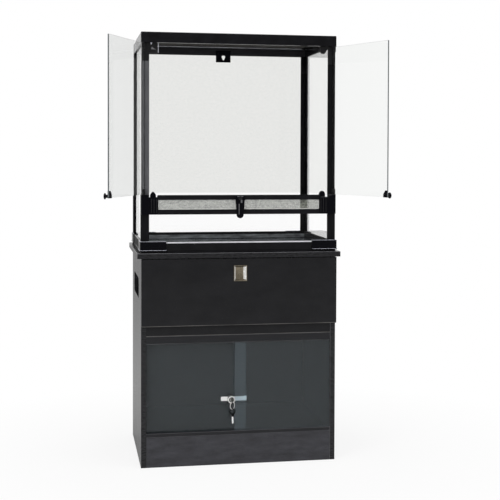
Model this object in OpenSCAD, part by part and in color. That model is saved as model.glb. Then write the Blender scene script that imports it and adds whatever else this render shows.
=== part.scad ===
// Front-opening glass terrarium on a laminated cabinet.
// Millimetres, +Z up, front towards -Y. The origin is the middle of the
// plinth's lower face, so every Y is counted from the plinth board's centre.

/* [Overall] */
// Width of the tank frame and of the cabinet carcass
unit_w = 600; // [500:1:800]
// Depth of the tank frame and of the cabinet carcass
unit_d = 450; // [400:1:560]
// Height of the cabinet to the top of its top board
cabinet_h = 652; // [600:1:760]
// Height of the tank from the cabinet top to the rim
tank_h = 666; // [560:1:800]

/* [Cabinet boards] */
// Thickness of every laminated board
board = 16; // [14:0.5:19]
// Thickness of the back panel
back_t = 4; // [3:0.5:6]
// Side overhang of the top board
top_over_side = 12; // [6:0.5:20]
// How far the top board reaches in front of the flap
top_over_front = 2; // [0.5:0.5:8]
// Height of the plinth, which is also the top of the bottom board
plinth_h = 92; // [70:1:120]
// Underside of the front rail
rail_z = 399; // [380:1:420]
// Height of the front rail between flap and sliding doors
rail_h = 30; // [24:1:36]
// Width of the lintel strip above the sliding doors
track_fascia = 23; // [18:0.5:28]

/* [Hand holes] */
// Length of the hand hole in each side
hole_l = 245; // [120:1:280]
// Height of the hand hole
hole_h = 64; // [40:1:80]
// Corner radius of the hand hole
hole_r = 18; // [8:1:20]
// Distance of the hand hole's centre below the cabinet top
hole_drop = 119; // [100:1:140]
// Distance of the hand hole's centre behind the middle of the side
hole_back = 10; // [-20:1:30]

/* [Flap] */
// Gap between the flap and the boards above and below it
flap_gap = 2; // [1.5:0.25:4]
// Gap between the flap's back face and the carcass front
flap_face_gap = 0.3; // [0.3:0.1:1]
// Width of the cup pull's frame
cup_w = 44; // [36:1:56]
// Height of the cup pull's frame
cup_h = 48; // [40:1:60]
// Distance of the cup pull's centre below the cabinet top
cup_drop = 63; // [50:1:90]
// Depth of the cup pull's bowl
cup_depth = 12; // [8:0.5:13]
// Wall of the cup pull and of its frame
cup_wall = 1.2; // [0.8:0.1:2]
// Width of the cup pull's frame around the bowl
cup_rim = 4; // [3:0.5:6]
// Radius of the flap hinge's knuckles
knuckle_r = 2.6; // [2.2:0.1:3.2]
// Radius of the flap hinge's pin
flap_pin_r = 1; // [0.8:0.1:1.4]
// Length of one knuckle
knuckle_l = 30; // [20:1:45]
// Thickness of the hinge's leaves
leaf_t = 1; // [0.8:0.1:1.4]
// Width of the hinge's leaves
leaf_w = 14; // [10:1:16]

// Distance of a magnetic catch from the side board
catch_in = 30; // [20:1:120]
// Length of a magnetic catch and of its strike plate
catch_l = 30; // [20:1:50]
// Height of a magnetic catch
catch_h = 14; // [10:1:18]
// Depth of a magnetic catch
catch_d = 18; // [12:1:30]
// Distance of a strike plate below the flap's upper edge
strike_edge = 2; // [1:0.5:4]

/* [Sliding doors] */
// Thickness of the tinted glass
slide_t = 5; // [4:0.5:6]
// Clear gap between the two panes
pane_gap = 6.5; // [6:0.25:8]
// Distance from the carcass front to the front pane
pane_set = 3; // [2.5:0.25:5]
// Left edge of the right, front pane
front_pane_x = -14; // [-30:1:-6]
// Right edge of the left, rear pane
rear_pane_x = 22; // [10:1:40]
// Height of the lower track
track_h = 11; // [6:0.5:12]
// Width of the floor under a groove of the lower track
track_floor = 2; // [1.5:0.25:3]
// Running clearance on each side of a pane
pane_clear = 0.3; // [0.3:0.1:1]
// How far a pane's top edge reaches up into the upper track
pane_bite = 14; // [10:0.5:16]

/* [Ratchet lock] */
// Height of the lock's centre
lock_z = 200; // [180:1:230]
// Radius of the lock's barrel
lock_r = 11; // [9:0.5:12]
// How far the barrel stands in front of the carcass front
lock_out = 8; // [6:0.5:12]
// Height of the ratchet bar
bar_h = 13; // [10:0.5:14]
// Thickness of the ratchet bar
bar_t = 1.5; // [1:0.1:2]
// Length of the ratchet bar
bar_l = 79; // [70:1:90]
// Pitch of the bar's teeth
tooth = 3; // [2:0.25:4]
// Radius of the key plug
plug_r = 6; // [5:0.25:7]
// Radius of a key's bow
bow_r = 11; // [9:0.5:12]
// Thickness of a key
key_t = 1.8; // [1.4:0.1:2.2]
// Radius of the hole in a key's bow
bow_hole_r = 3.5; // [3.2:0.1:4]
// Radius of the key ring to the middle of its wire
ring_r = 11; // [9:0.5:14]
// Radius of the ring's wire
wire_r = 0.8; // [0.6:0.1:1]
// Length of a key from its bow's edge to its tip
key_l = 56; // [48:1:62]
// Width of a key's shank and blade
key_w = 7.2; // [6:0.2:8]

/* [Tank frame] */
// Height of the base frame
base_h = 32; // [28:1:44]
// Height of the top rim
rim_h = 32; // [26:1:40]
// Width of a corner post's faces
post_w = 25; // [20:0.5:30]
// Wall of a corner post
post_t = 5; // [4:0.5:6]
// Wall of the base frame and of the rim
frame_t = 12; // [11:0.5:14]
// Width of the ledge that carries the floor pane
ledge_w = 13; // [8:0.5:16]
// Height of that ledge
ledge_h = 6; // [4:0.5:8]
// How far the front posts stand behind the rim's face
door_recess = 8; // [7.6:0.1:10]
// Thickness of the fixed glass
glass_t = 5; // [4:0.5:6]
// Reach of a corner bracket along the base frame
bracket_l = 76; // [60:1:90]
// Height of a corner bracket
bracket_h = 30; // [24:1:32]
// How far a corner bracket stands above the base frame
bracket_rise = 3; // [0:0.5:5]
// Thickness of a corner bracket
bracket_t = 3; // [2:0.25:4]
// How far the corner connectors reach below the rim
connector_h = 55; // [45:1:65]
// Reach of the connector's gusset beside the post
gusset_w = 24; // [18:1:30]
// Height of that gusset
gusset_h = 32; // [24:1:40]

/* [Vent strip] */
// Height of the vent strip's upper edge above the cabinet top
vent_top = 175; // [150:1:200]
// Height of each rail of the vent strip
vent_rail = 15; // [12:0.5:18]
// Clear height of the vent mesh
vent_gap = 29; // [22:1:36]
// Thickness of the mesh
mesh_t = 1; // [0.8:0.1:1.4]
// Depth that the mesh reaches into each rail
mesh_bite = 4; // [3:0.5:6]

/* [Glass doors] */
// Thickness of the door glass
door_t = 4; // [3.5:0.25:4.5]
// Distance from the tank's side to the door's pivot
pivot_in = 9; // [7:0.5:12]
// Gap between the closed doors
door_gap = 3; // [2:0.5:6]
// Opening angle of the left door as it stands
left_open = 113.3; // [60:0.1:135]
// Opening angle of the right door as it stands
right_open = 110.9; // [60:0.1:135]
// Radius of the door's pivot pins
pivot_r = 2; // [1.6:0.1:2.2]
// Radial play of every pin in its bore
pin_play = 0.05; // [0.02:0.01:0.1]
// Length of a pivot pin in its bore
pivot_l = 8; // [6:0.5:10]
// Wall of the clips and clamps on the door glass
clip_t = 1.6; // [1.2:0.1:1.8]
// Length of a hinge clip along the glass
clip_l = 12; // [10:1:24]
// Height of a hinge clip
clip_h = 18; // [14:1:26]
// Width of the knob's clamp
clamp_w = 16; // [12:1:26]
// Height of the knob's clamp above the lower edge of the glass
clamp_h = 19; // [16:1:26]
// Radius of the door knob's head
knob_r = 9; // [8:0.5:12]
// Thickness of that head
knob_t = 3; // [2:0.25:3.25]
// Reach of the knob from its clamp
knob_out = 12.5; // [12:0.5:18]
// Height of the knob's middle above the lower edge of the glass
knob_rise = 4; // [3.5:0.5:8]
// Reach of a lower hinge block along the vent strip
block_w = 52; // [44:1:60]
// Radius of the door stop on a hinge block
stop_r = 10; // [7:0.5:11]
// How far the left door stop stands nearer to the side than the right one
stop_shift = 5; // [0:0.5:8]

/* [Latch] */
// Width of the latch's head
latch_w = 28; // [22:1:30]
// Width of the latch's tongue
latch_tip = 21; // [14:1:21]
// Length of the latch
latch_l = 71; // [60:1:76]
// Thickness of the latch
latch_t = 8; // [6:0.5:8]
// Radius of the latch's pivot
latch_pin_r = 3; // [2.5:0.25:4]

/* [Lid and rear tab] */
// Thickness of the lid's frame
lid_t = 5; // [4:0.5:6]
// Width of the lid's frame
lid_w = 20; // [14:1:26]
// Openings in the lid's mesh along its width
grid_x = 12; // [6:1:12]
// Openings in the lid's mesh along its depth
grid_y = 9; // [5:1:10]
// Width of a bar between two openings
grid_bar = 3; // [2:0.5:5]
// Seat of the lid in the rim
lid_seat = 6; // [4:0.5:8]
// Clearance around the lid
lid_clear = 0.6; // [0.4:0.1:1.2]
// Width of the rear lock tab
tab_w = 50; // [36:1:60]
// How far the tab hangs below the rim
tab_drop = 23; // [16:1:30]
// Thickness of the tab
tab_t = 4; // [3:0.5:5]
// Sideways place of the tab
tab_x = 4; // [-20:1:20]

/* [Hidden] */
$fn = 48;
clear = 0.3;                                   // between bodies that move
cut = 1;                                       // overshoot of a cutting shape

hw = unit_w / 2;
front_y = -board / 2;
back_y = front_y + unit_d;
inner_w = hw - board;                          // half width inside the cabinet
top_z = cabinet_h - board;                     // underside of the top board
shelf_z = rail_z;                              // underside of the middle shelf

// flap
flap_z = rail_z + rail_h + flap_gap - 0.5;
flap_top = top_z - flap_gap;
flap_y = front_y - flap_face_gap;              // back face, and hinge axis
flap_front = flap_y - board;
cup_z = cabinet_h - cup_drop;
catch_x = [inner_w - catch_in - catch_l, inner_w - catch_in];
hinge_n = 2 * floor((inner_w - board) / knuckle_l) - 1;  // odd
hinge_l = hinge_n * knuckle_l;

// sliding doors
pane_y = [front_y + pane_set, front_y + pane_set + slide_t + pane_gap];
pane_z = plinth_h + track_floor + pane_clear;
pane_top = rail_z - track_fascia + pane_bite;
pane_end = inner_w - pane_clear;
track_d = pane_set + 2 * slide_t + pane_gap + pane_set;

// lock
bar_gap = 2.1;                                 // from the bar to the rear pane
bar_y = pane_y[1] - bar_gap - bar_t;
bar_x = rear_pane_x + bar_t - bar_l;           // free end of the bar
lock_x = front_pane_x - pane_clear - lock_r;
lock_front = front_y - lock_out;
lock_back = pane_y[1] - 0.4;
plug_l = 14;
key_axis_y = lock_front - 3 - bow_r;           // middle of the bow
hole_in = bow_r - bow_hole_r - 2.5;            // from the bow's middle
hole_y = key_axis_y - hole_in;
ring_top = lock_z - bow_hole_r + wire_r + clear;
ring_z = ring_top - ring_r;
spare_hole_z = ring_z - ring_r - bow_hole_r + wire_r + clear;

// tank
base_z = cabinet_h;
base_top = base_z + base_h;
rim_top = cabinet_h + tank_h;
rim_z = rim_top - rim_h;
post_y = front_y + door_recess;                // face of the front posts
conn_z = rim_z - connector_h;
pane_x = hw - post_t;                          // outer face of the side glass
rear_glass_y = back_y - post_t;

// vent strip
vent_z = cabinet_h + vent_top;
vent_mid = vent_z - vent_rail;                 // underside of the upper rail
vent_low = vent_mid - vent_gap;                // top of the lower rail
vent_bot = vent_low - vent_rail;
vent_d = door_recess + post_t;
vent_half = hw - block_w;
mesh_y = front_y + vent_d / 2;

// doors
pivot_x = hw - pivot_in;
pivot_y = front_y + door_recess / 2;
door_z = vent_z + 2;
door_top = rim_z - 3;
door_l = pivot_x - door_gap / 2;
clip_r = door_t / 2 + clip_t;
knob_x = door_l - 2 - clamp_w / 2;
knob_z = door_z + knob_rise;

// latch
latch_y = front_y - clear;
latch_z = vent_z - latch_pin_r * 3.3;

// lid
lid_z = rim_top - lid_seat + clear;
lid_x = hw - frame_t + lid_seat - lid_clear;
lid_y = [front_y + frame_t - lid_seat + lid_clear,
         back_y - frame_t + lid_seat - lid_clear];

// ---- helpers ------------------------------------------------------------

// A box between two corners.
module block(low, high) { translate(low) cube(high - low); }

// A bar along X, Y or Z.
module rod_x(r, l) { rotate([0, 90, 0]) cylinder(r = r, h = l); }
module rod_y(r, l) { rotate([-90, 0, 0]) cylinder(r = r, h = l); }

// Both sides of the object from one half.
module both() { children(); mirror([1, 0, 0]) children(); }

// A rectangle with round corners, centred.
module round_rect(w, h, r) {
    square([w - 2 * r, h], center = true);
    square([w, h - 2 * r], center = true);
    for (x = [-1, 1], y = [-1, 1])
        translate([x * (w / 2 - r), y * (h / 2 - r)]) circle(r);
}

// A frame of constant wall between two heights.
module ring(x, y0, y1, wall, z0, z1) {
    difference() {
        block([-x, y0, z0], [x, y1, z1]);
        block([-x + wall, y0 + wall, z0 - cut],
              [x - wall, y1 - wall, z1 + cut]);
    }
}

// ---- cabinet ------------------------------------------------------------

module side_board() {
    color("#35373a") difference() {
        block([-hw, front_y, 0], [-inner_w, back_y, top_z]);
        translate([-hw - cut, front_y + unit_d / 2 + hole_back,
                   cabinet_h - hole_drop])
            rotate([90, 0, 90]) linear_extrude(board + 2 * cut)
                round_rect(hole_l, hole_h, hole_r);
        block([-inner_w - 4, back_y - back_t - 4, plinth_h],
              [-inner_w + cut, back_y - 4, top_z + cut]);
    }
}
module cabinet_left_side() { side_board(); }
module cabinet_right_side() { mirror([1, 0, 0]) side_board(); }

module cabinet_top() {
    color("#2a2b2d") block([-hw - top_over_side,
                            flap_front - top_over_front, top_z],
                           [hw + top_over_side, back_y, cabinet_h]);
}

module cabinet_bottom() {
    color("#35373a") block([-inner_w, front_y + board, plinth_h - board],
                           [inner_w, back_y - back_t - 4, plinth_h]);
}

module middle_shelf() {
    color("#35373a") block([-inner_w, front_y + board, shelf_z],
                           [inner_w, back_y - back_t - 4, shelf_z + board]);
}

module cabinet_back() {
    color("#2c2d2f") block([-inner_w - 3.7, back_y - back_t - 4, plinth_h],
                           [inner_w + 3.7, back_y - 4, top_z]);
}

module plinth() {
    color("#434448") block([-inner_w, front_y, 0],
                           [inner_w, front_y + board, plinth_h]);
}

module rear_plinth() {
    color("#434448") block([-inner_w, back_y - back_t - 4 - board, 0],
                           [inner_w, back_y - back_t - 4, plinth_h - board]);
}

module front_rail() {
    color("#232326") difference() {
        block([-inner_w, front_y, rail_z],
              [inner_w, front_y + board, rail_z + rail_h]);
        // room for the hinge's knuckles and its leaf
        translate([-hinge_l / 2 - cut, flap_y, flap_z])
            rod_x(knuckle_r + 0.4, hinge_l + 2 * cut);
        block([-hinge_l / 2 - cut, front_y - cut,
               rail_z + rail_h - leaf_t],
              [hinge_l / 2 + cut, front_y + leaf_w, flap_z]);
    }
}

// Grooves for the two panes, through the length of a track.
module pane_grooves(z0, z1) {
    for (y = pane_y)
        block([-inner_w - cut, y - pane_clear, z0],
              [inner_w + cut, y + slide_t + pane_clear, z1]);
}

module upper_track() {
    color("#2a2826") difference() {
        block([-inner_w, front_y, rail_z - track_fascia],
              [inner_w, front_y + track_d, rail_z]);
        pane_grooves(rail_z - track_fascia - cut,
                     pane_top + 2 * pane_clear);
    }
}

module lower_track() {
    color("#161617") difference() {
        block([-inner_w, front_y, plinth_h],
              [inner_w, front_y + track_d, plinth_h + track_h]);
        pane_grooves(plinth_h + track_floor, plinth_h + track_h + cut);
    }
}

// ---- flap ---------------------------------------------------------------

module flap() {
    color("#232326") difference() {
        block([-hw, flap_front, flap_z], [hw, flap_y, flap_top]);
        translate([0, flap_front - cut, cup_z]) rotate([-90, 0, 0])
            linear_extrude(cup_depth + cut)
                square([cup_w - 2 * cup_rim, cup_h - 2 * cup_rim],
                       center = true);
        translate([-hinge_l / 2 - cut, flap_y, flap_z])
            rod_x(knuckle_r + 0.4, hinge_l + 2 * cut);
        // bed of the hinge's leaf
        block([-hinge_l / 2 - cut, flap_y - leaf_t, flap_z - cut],
              [hinge_l / 2 + cut, flap_y + cut, flap_z + leaf_w]);
        // beds of the strike plates
        both() strike(flap_y + cut);
    }
}

// A strike plate let into the flap's back face, opposite its catch.
module strike(y) {
    block([catch_x[0], flap_y - leaf_t, top_z - catch_h],
          [catch_x[1], y, top_z - flap_gap - strike_edge]);
}

// Square bowl with a flat frame on the flap's face.
module cup_pull() {
    bowl = [cup_w - 2 * cup_rim, cup_h - 2 * cup_rim];
    color("#b9b6ae") translate([0, flap_front, cup_z]) rotate([-90, 0, 0])
        difference() {
            union() {
                translate([0, 0, -cup_wall]) linear_extrude(cup_wall)
                    round_rect(cup_w, cup_h, 2);
                linear_extrude(cup_depth) square(bowl, center = true);
            }
            translate([0, 0, -cup_wall - cut])
                linear_extrude(cup_depth + cut)
                    square(bowl - 2 * [cup_wall, cup_wall], center = true);
        }
}

// Knuckles that belong to one leaf: the odd ones or the even ones.
module knuckles(first, r) {
    for (i = [first : 2 : hinge_n - 1])
        translate([-hinge_l / 2 + i * knuckle_l + 0.2, flap_y, flap_z])
            rod_x(r, knuckle_l - 0.4);
}

module hinge_leaf(first, low, high) {
    color("#5b5c60") difference() {
        union() { knuckles(first, knuckle_r); block(low, high); }
        // the other leaf's knuckles turn in these gaps
        difference() {
            translate([-hinge_l / 2 - cut, flap_y, flap_z])
                rod_x(knuckle_r + clear, hinge_l + 2 * cut);
            knuckles(first, knuckle_r + 2 * clear);
        }
        translate([-hinge_l / 2 - cut, flap_y, flap_z])
            rod_x(flap_pin_r + pin_play, hinge_l + 2 * cut);
    }
}
module flap_hinge_leaf() {
    hinge_leaf(0, [-hinge_l / 2, flap_y - leaf_t, flap_z],
               [hinge_l / 2, flap_y, flap_z + leaf_w]);
}
module rail_hinge_leaf() {
    hinge_leaf(1, [-hinge_l / 2, front_y, rail_z + rail_h - leaf_t],
               [hinge_l / 2, front_y + leaf_w, rail_z + rail_h]);
}
module flap_hinge_pin() {
    color("#5b5c60") translate([-hinge_l / 2, flap_y, flap_z])
        rod_x(flap_pin_r, hinge_l);
}

module magnet_catches() {
    color("#1c1c1e") both()
        block([catch_x[0], front_y, top_z - catch_h],
              [catch_x[1], front_y + catch_d, top_z]);
}
module catch_plates() {
    color("#8a8b8e") both() strike(flap_y);
}

// ---- sliding doors and lock ---------------------------------------------

module left_sliding_glass() {
    color("#363a40") block([-pane_end, pane_y[1], pane_z],
                           [rear_pane_x, pane_y[1] + slide_t, pane_top]);
}
module right_sliding_glass() {
    color("#363a40") block([front_pane_x, pane_y[0], pane_z],
                           [pane_end, pane_y[0] + slide_t, pane_top]);
}

// Toothed bar that hooks around the rear pane's leading edge.
module lock_bar() {
    low = lock_z - bar_h / 2;
    high = lock_z + bar_h / 2;
    edge = rear_pane_x;
    color("#d8d8d6") {
        difference() {
            block([bar_x, bar_y, low], [edge + bar_t, bar_y + bar_t, high]);
            for (x = [bar_x + 4 : tooth : front_pane_x - 2 * tooth])
                block([x, bar_y - cut, low - cut],
                      [x + tooth / 2, bar_y + 0.5, low + 2.5]);
        }
        block([edge, bar_y, low],
              [edge + bar_t, pane_y[1] + slide_t + bar_t, high]);
        block([edge - 6, pane_y[1] + slide_t, low],
              [edge + bar_t, pane_y[1] + slide_t + bar_t, high]);
        block([edge - 6, bar_y + bar_t, low],
              [edge, pane_y[1], high]);
    }
}

// Barrel with a slot for the bar behind it and a bore for the key plug.
module lock_barrel() {
    half = bar_h / 2 + clear;
    color("#c9c9c7") difference() {
        translate([lock_x, lock_front, lock_z])
            rod_y(lock_r, lock_back - lock_front);
        block([lock_x - lock_r - cut, bar_y - clear, lock_z - half],
              [lock_x + lock_r + cut, bar_y + bar_t + clear,
               lock_z + half]);
        translate([lock_x, lock_front - cut, lock_z])
            rod_y(plug_r + pin_play, plug_l + cut);
    }
}

// A key's bow and shank in the YZ plane, the shank towards +Y.
module key_bow(shank) {
    rotate([90, 0, 90]) translate([0, 0, -key_t / 2])
        linear_extrude(key_t) difference() {
            union() {
                circle(bow_r);
                translate([0, -key_w / 2]) square([shank, key_w]);
            }
            translate([-hole_in, 0]) circle(bow_hole_r);
        }
}

// Notches along one edge of a key's blade.
module key_cuts(tip) {
    for (i = [0 : 4])
        translate([tip - 5 - 5 * i, key_w / 2]) rotate(45)
            square(2.4 + 0.8 * (i % 2), center = true);
}

module key_in_lock() {
    color("#c9c9c7") {
        translate([lock_x, lock_front - 0.5, lock_z])
            rod_y(plug_r, plug_l);
        translate([lock_x, key_axis_y, lock_z]) key_bow(bow_r + 6);
    }
}

// The ring hangs in a plane halfway between the two keys'.
module key_ring() {
    color("#d8d8d6") translate([lock_x, hole_y, ring_z])
        rotate([90, 0, 45]) rotate_extrude()
            translate([ring_r, 0]) circle(wire_r, $fn = 8);
}

module spare_key() {
    tip = key_l - bow_r;
    color("#c9c9c7") translate([lock_x, hole_y, spare_hole_z - hole_in])
        rotate([-90, 0, 90]) difference() {
            key_bow(tip);
            rotate([90, 0, 90]) translate([0, 0, -key_t])
                linear_extrude(2 * key_t) key_cuts(tip);
        }
}

// ---- tank frame ---------------------------------------------------------

module base_frame() {
    color("#232325") {
        ring(hw, front_y, back_y, frame_t, base_z, base_top);
        ring(hw - frame_t, front_y + frame_t, back_y - frame_t,
             ledge_w, base_z, base_z + ledge_h);
    }
}

module corner_bracket() {
    z1 = base_top + bracket_rise;
    z0 = z1 - bracket_h;
    difference() {
        block([-hw - bracket_t, front_y - bracket_t, z0],
              [-hw + bracket_l, front_y + bracket_l, z1]);
        block([-hw, front_y, z0 - cut],
              [-hw + bracket_l + cut, front_y + bracket_l + cut,
               z1 + cut]);
    }
}
module base_corner_brackets() {
    color("#1b1b1e") both() {
        corner_bracket();
        translate([0, front_y + back_y, 0]) mirror([0, 1, 0])
            corner_bracket();
    }
}

module floor_pane() {
    color("#4a4e50") block([-hw + frame_t, front_y + frame_t,
                            base_z + ledge_h],
                           [hw - frame_t, back_y - frame_t,
                            base_z + ledge_h + glass_t]);
}

// An angle with its outer corner at the left front.
module angle(y, z0, z1) {
    block([-hw, y, z0], [-hw + post_w, y + post_t, z1]);
    block([-hw, y, z0], [-hw + post_t, y + post_w, z1]);
}
module back_angle(z0, z1) {
    translate([0, 2 * back_y - post_w, 0]) mirror([0, 1, 0])
        translate([0, back_y - post_w, 0]) angle(0, z0, z1);
}

module front_left_post() { color("#55565a") angle(post_y, base_top, conn_z); }
module front_right_post() {
    color("#28282b") mirror([1, 0, 0]) angle(post_y, base_top, conn_z);
}
module back_left_post() { color("#1d1d1f") back_angle(base_top, conn_z); }
module back_right_post() {
    color("#1d1d1f") mirror([1, 0, 0]) back_angle(base_top, conn_z);
}

module top_corner_connectors() {
    color("#18181a") both() {
        angle(post_y, conn_z, rim_z);
        block([-hw + post_w, post_y, rim_z - gusset_h],
              [-hw + post_w + gusset_w, post_y + post_t, rim_z]);
        back_angle(conn_z, rim_z);
    }
}

module top_frame() {
    color("#232325") difference() {
        ring(hw, front_y, back_y, frame_t, rim_z, rim_top);
        // seat of the lid
        block([-lid_x - lid_clear, lid_y[0] - lid_clear, lid_z],
              [lid_x + lid_clear, lid_y[1] + lid_clear, rim_top + cut]);
        // upper pivots of the doors
        both() translate([-pivot_x, pivot_y, rim_z - cut])
            cylinder(r = pivot_r + pin_play, h = pivot_l + 1 + cut);
    }
}

module back_glass() {
    color("#c9d6d2", 0.35) block([-pane_x + glass_t, rear_glass_y - glass_t,
                                  base_top],
                                 [pane_x - glass_t, rear_glass_y, rim_z]);
}
module left_side_glass() {
    color("#c9d6d2", 0.35) block([-pane_x, post_y + post_t, base_top],
                                 [-pane_x + glass_t, rear_glass_y, rim_z]);
}
module right_side_glass() { mirror([1, 0, 0]) left_side_glass(); }
module front_lower_glass() {
    color("#c9d6d2", 0.35)
        block([-hw + frame_t, post_y + post_t,
               base_z + ledge_h + glass_t],
              [hw - frame_t, post_y + post_t + glass_t,
               vent_bot + vent_rail / 2]);
}

// ---- vent strip ---------------------------------------------------------

// One rail, with the groove that holds the mesh.
module vent_rail_bar(z0, groove_z) {
    difference() {
        block([-vent_half, front_y, z0],
              [vent_half, front_y + vent_d, z0 + vent_rail]);
        block([-vent_half - cut, mesh_y - mesh_t / 2, groove_z],
              [vent_half + cut, mesh_y + mesh_t / 2,
               groove_z + mesh_bite + cut]);
    }
}
module vent_upper_rail() {
    color("#1f1f21") difference() {
        vent_rail_bar(vent_mid, vent_mid - cut);
        translate([0, front_y - cut, latch_z])
            rod_y(latch_pin_r, 5 + cut);
    }
}
module vent_lower_rail() {
    color("#1f1f21") vent_rail_bar(vent_bot, vent_low - mesh_bite);
}
module vent_mesh() {
    color("#8f948c") block([-vent_half, mesh_y - mesh_t / 2,
                            vent_low - mesh_bite],
                           [vent_half, mesh_y + mesh_t / 2,
                            vent_mid + mesh_bite]);
}

// Moulded block that closes the strip's end and carries the door's pivot.
module hinge_block(shift) {
    color("#18181a") difference() {
        union() {
            block([-hw, front_y, vent_bot], [-hw + post_w, post_y, vent_z]);
            block([-hw + post_w, front_y, vent_bot],
                  [-vent_half, front_y + vent_d, vent_z]);
            translate([-vent_half - stop_r - shift, post_y, vent_z])
                rod_y(stop_r, post_t);
        }
        translate([-pivot_x, pivot_y, vent_z - pivot_l - 1])
            cylinder(r = pivot_r + pin_play, h = pivot_l + 1 + cut);
    }
}
module left_hinge_block() { hinge_block(stop_shift); }
module right_hinge_block() { mirror([1, 0, 0]) hinge_block(0); }

// ---- glass doors --------------------------------------------------------

// Puts a closed left door, drawn from its pivot along +X, at its place.
module on_left() {
    translate([-pivot_x, pivot_y, 0]) rotate(-left_open) children();
}
module on_right() {
    translate([pivot_x, pivot_y, 0]) rotate(right_open)
        mirror([1, 0, 0]) children();
}

module door_pane() {
    color("#d5dedb", 0.3) block([-door_t / 2, -door_t / 2, door_z],
                                [door_l, door_t / 2, door_top]);
}

// Clip on the glass with its pivot pin, standing up from the vent strip;
// gap is the floor between the clip's foot and the edge of the glass.
module hinge_clip(gap) {
    translate([0, 0, vent_z + clear]) difference() {
        union() {
            cylinder(r = clip_r, h = clip_h);
            block([0, -clip_r, 0], [clip_l, clip_r, clip_h]);
            translate([0, 0, -pivot_l - clear])
                cylinder(r = pivot_r, h = pivot_l + 1);
        }
        block([-door_t / 2, -door_t / 2, gap],
              [clip_l + cut, door_t / 2, clip_h + cut]);
    }
}
module door_clips() {
    color("#18181a") {
        hinge_clip(door_z - vent_z - clear);
        translate([0, 0, vent_z + rim_z]) mirror([0, 0, 1])
            hinge_clip(rim_z - door_top - clear);
    }
}

// Clamp under the free lower corner with a turned knob in front.
module door_knob() {
    foot = door_z - clip_t;
    color("#18181a") {
        difference() {
            block([knob_x - clamp_w / 2, -clip_r, foot],
                  [knob_x + clamp_w / 2, clip_r, door_z + clamp_h]);
            block([knob_x - clamp_w / 2 - cut, -door_t / 2, door_z],
                  [knob_x + clamp_w / 2 + cut, door_t / 2,
                   door_z + clamp_h + cut]);
        }
        translate([knob_x, -clip_r - knob_out, knob_z]) {
            rod_y(knob_r, knob_t);
            rod_y(knob_r * 0.5, knob_out);
        }
    }
}

module left_door_glass() { on_left() door_pane(); }
module right_door_glass() { on_right() door_pane(); }
module left_hinge_clips() { on_left() door_clips(); }
module right_hinge_clips() { on_right() door_clips(); }
module left_door_knob() { on_left() door_knob(); }
module right_door_knob() { on_right() door_knob(); }

// ---- latch --------------------------------------------------------------

module front_latch() {
    top = vent_z - latch_z;
    tip = latch_l - top - latch_tip / 2;
    color("#1a1a1c") translate([0, latch_y, latch_z]) rotate([90, 0, 0])
        linear_extrude(latch_t) difference() {
            union() {
                polygon([[-latch_w / 2, top], [latch_w / 2, top],
                         [latch_w / 2, top - latch_w * 0.6],
                         [latch_tip / 2 - 0.2, -tip],
                         [0.2 - latch_tip / 2, -tip],
                         [-latch_w / 2, top - latch_w * 0.6]]);
                translate([0, -tip]) circle(latch_tip / 2);
            }
            circle(latch_pin_r + pin_play);
        }
}

module latch_pivot() {
    head = latch_y - latch_t - clear;
    color("#2b2b2e") {
        translate([0, head, latch_z])
            rod_y(latch_pin_r, front_y + 5 - head);
        translate([0, head - 2, latch_z]) rod_y(latch_pin_r * 2, 2);
    }
}

// ---- lid and rear tab ---------------------------------------------------

module lid_frame() {
    color("#202022") difference() {
        ring(lid_x, lid_y[0], lid_y[1], lid_w, lid_z, lid_z + lid_t);
        block([-lid_x + lid_w - mesh_bite, lid_y[0] + lid_w - mesh_bite,
               lid_z + lid_t / 2 - mesh_t / 2],
              [lid_x - lid_w + mesh_bite, lid_y[1] - lid_w + mesh_bite,
               lid_z + lid_t / 2 + mesh_t / 2]);
    }
}
// A plain grid for the woven wire, held in the frame's groove.
module lid_mesh() {
    low = [-lid_x + lid_w, lid_y[0] + lid_w, lid_z + lid_t / 2 - mesh_t / 2];
    span = [-2 * low[0], lid_y[1] - lid_w - low[1], mesh_t];
    hole = [(span[0] + grid_bar) / grid_x - grid_bar,
            (span[1] + grid_bar) / grid_y - grid_bar, mesh_t + 2 * cut];
    color("#6f726d") difference() {
        block(low - [mesh_bite, mesh_bite, 0],
              low + span + [mesh_bite, mesh_bite, 0]);
        for (i = [0 : grid_x - 1], j = [0 : grid_y - 1])
            translate(low + [i * (hole[0] + grid_bar),
                             j * (hole[1] + grid_bar), -cut])
                cube(hole);
    }
}

// Tab on the rim's inner face, with a keyhole for a padlock or a hook.
module tab_screws_at() {
    for (x = [-1, 1]) translate([tab_x + x * tab_w * 0.32, 0, 0])
        children();
}
module rear_lock_tab() {
    y = back_y - frame_t - tab_t;
    color("#161618") difference() {
        block([tab_x - tab_w / 2, y, rim_z - tab_drop],
              [tab_x + tab_w / 2, y + tab_t, rim_z + rim_h / 2]);
        translate([tab_x + 4, y - cut, rim_z - tab_drop / 2]) {
            rod_y(5, tab_t + 2 * cut);
            translate([-2.5, 0, 0]) cube([5, tab_t + 2 * cut, 9]);
        }
        translate([0, y - cut, rim_z + rim_h / 4]) tab_screws_at()
            rod_y(2, tab_t + 2 * cut);
    }
}
module lock_tab_screws() {
    y = back_y - frame_t - tab_t;
    color("#2b2b2e") translate([0, 0, rim_z + rim_h / 4]) tab_screws_at() {
        translate([0, y, 0]) rod_y(1.9, tab_t);
        translate([0, y - 2, 0]) rod_y(3.6, 2);
    }
}

// ---- build --------------------------------------------------------------

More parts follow.
